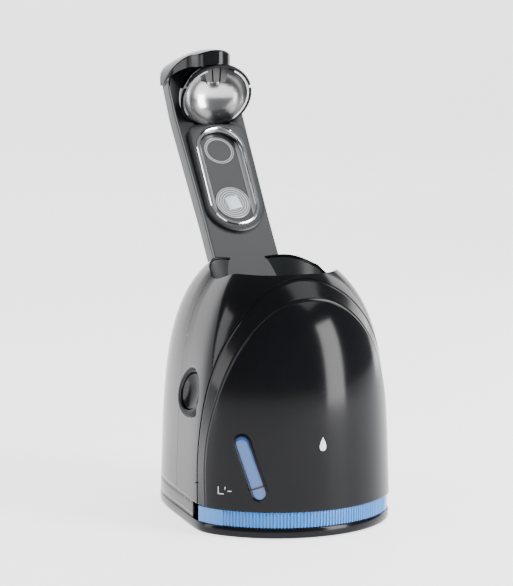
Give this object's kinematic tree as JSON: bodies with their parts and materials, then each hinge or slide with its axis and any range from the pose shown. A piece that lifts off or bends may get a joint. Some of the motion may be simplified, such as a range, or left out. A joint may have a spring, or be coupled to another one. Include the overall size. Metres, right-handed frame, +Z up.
{
  "type": "electric shaver cleaning and charging station",
  "caption": "Helmet-shaped shaver cleaning station with a slide-in fluid cartridge, lift-up housing and a leaning holder arm with a chrome cup and round keys.",
  "frame": {"origin": "on the floor under the middle of the whole object", "axes": "+Z up, -Y towards the ribbed front strip, +X to the right seen from the front"},
  "size_m": [0.1258, 0.229, 0.2888],
  "materials": {
    "gloss_black": "polished",
    "satin_dark_grey": "satin",
    "matt_black": "fine matt",
    "rubber_pad": "matt",
    "light_blue": "satin",
    "clear_blue": "clear",
    "chrome_trim": "mirror polished",
    "satin_metal": "ring turned",
    "steel": "plain",
    "board_green": "lacquered",
    "pale_filter": "fibrous",
    "status_pane": "frosted"
  },
  "bodies": {
    "base": {"base_tray": "matt_black", "foot_front_left": "rubber_pad", "foot_front_right": "rubber_pad", "foot_rear_left": "rubber_pad", "foot_rear_right": "rubber_pad", "guide_post_left": "steel", "guide_post_right": "steel", "lift_spring_left": "steel", "lift_spring_right": "steel", "tray_catch": "steel"},
    "cartridge": {"cartridge_tub": "light_blue", "cartridge_lid": "matt_black", "cartridge_filter": "pale_filter"},
    "lift_key": {"lift_button": "gloss_black"},
    "latch": {"latch_slider": "steel"},
    "start_key": {"start_button": "satin_metal"},
    "select_key": {"select_button": "satin_metal", "status_window": "status_pane"},
    "left_contact": {"contact_pin_left": "satin_metal"},
    "right_contact": {"contact_pin_right": "satin_metal"},
    "pump_wheel": {"pump_rotor": "satin_metal"},
    "fan_wheel": {"fan_rotor": "matt_black"},
    "float": {"level_float": "matt_black"},
    "housing": {"housing_shell": "gloss_black", "front_panel": "gloss_black", "button_ring": "gloss_black", "hook_cap": "gloss_black", "cup_shell": "gloss_black", "arm_rear_shell": "satin_dark_grey", "arm_front_cover": "satin_dark_grey", "pod_plate": "satin_dark_grey", "recess_basin": "satin_dark_grey", "window_frame": "matt_black", "chassis_deck": "matt_black", "pump_housing": "matt_black", "fan_housing": "matt_black", "drain_pipe": "matt_black", "intake_pipe": "matt_black", "feed_pipe": "matt_black", "transformer": "matt_black", "power_inlet": "matt_black", "contact_block": "matt_black", "arm_cable": "rubber_pad", "sight_glass": "clear_blue", "oval_bezel": "chrome_trim", "contact_cup": "chrome_trim", "key_trough": "satin_metal", "drain_screen": "steel", "pump_motor": "steel", "fan_motor": "steel", "start_switch": "steel", "select_switch": "steel", "deck_screw_front_left": "steel", "deck_screw_front_right": "steel", "deck_screw_rear_left": "steel", "deck_screw_rear_right": "steel", "power_board": "board_green", "control_board": "board_green"}
  },
  "joints": [
    {"name": "housing_lift", "type": "slide", "parent": "base", "child": "housing", "axis": [0, 0, 1], "range_m": [0, 0.02], "deforming": ["lift_spring_left", "lift_spring_right"]},
    {"name": "cartridge_slide", "type": "slide", "parent": "base", "child": "cartridge", "axis": [0, -1, 0], "range_m": [0, 0.12]},
    {"name": "lift_button_press", "type": "slide", "parent": "housing", "child": "lift_key", "axis": [0.9583, 0.1518, -0.2419], "range_m": [0, 0.003], "stiffness_N_per_m": 500, "springref_m": -0.001},
    {"name": "latch_slide", "type": "slide", "parent": "housing", "child": "latch", "axis": [1, 0, 0], "range_m": [0, 0.003]},
    {"name": "start_button_press", "type": "slide", "parent": "housing", "child": "start_key", "axis": [0, 0.7997, -0.6004], "range_m": [0, 0.0012], "stiffness_N_per_m": 500, "springref_m": -0.0006},
    {"name": "select_button_press", "type": "slide", "parent": "housing", "child": "select_key", "axis": [0, 0.7997, -0.6004], "range_m": [0, 0.0012], "stiffness_N_per_m": 500, "springref_m": -0.0006},
    {"name": "left_contact_press", "type": "slide", "parent": "housing", "child": "left_contact", "axis": [0, 0, 1], "range_m": [0, 0.0012], "stiffness_N_per_m": 150, "springref_m": -0.0006},
    {"name": "right_contact_press", "type": "slide", "parent": "housing", "child": "right_contact", "axis": [0, 0, 1], "range_m": [0, 0.0012], "stiffness_N_per_m": 150, "springref_m": -0.0006},
    {"name": "pump_spin", "type": "hinge", "parent": "housing", "child": "pump_wheel", "pos_m": [-0.022, -0.04677, 0.055], "axis": [0, 0, 1], "continuous": true},
    {"name": "fan_spin", "type": "hinge", "parent": "housing", "child": "fan_wheel", "pos_m": [0.026, -0.03077, 0.055], "axis": [0, 0, 1], "continuous": true},
    {"name": "float_rise", "type": "slide", "parent": "housing", "child": "float", "axis": [-0.2724, 0.1929, 0.9426], "range_m": [0, 0.024]}
  ],
  "couplings": [
    {"joint": "latch_slide", "follows": "lift_button_press", "ratio": 1}
  ]
}
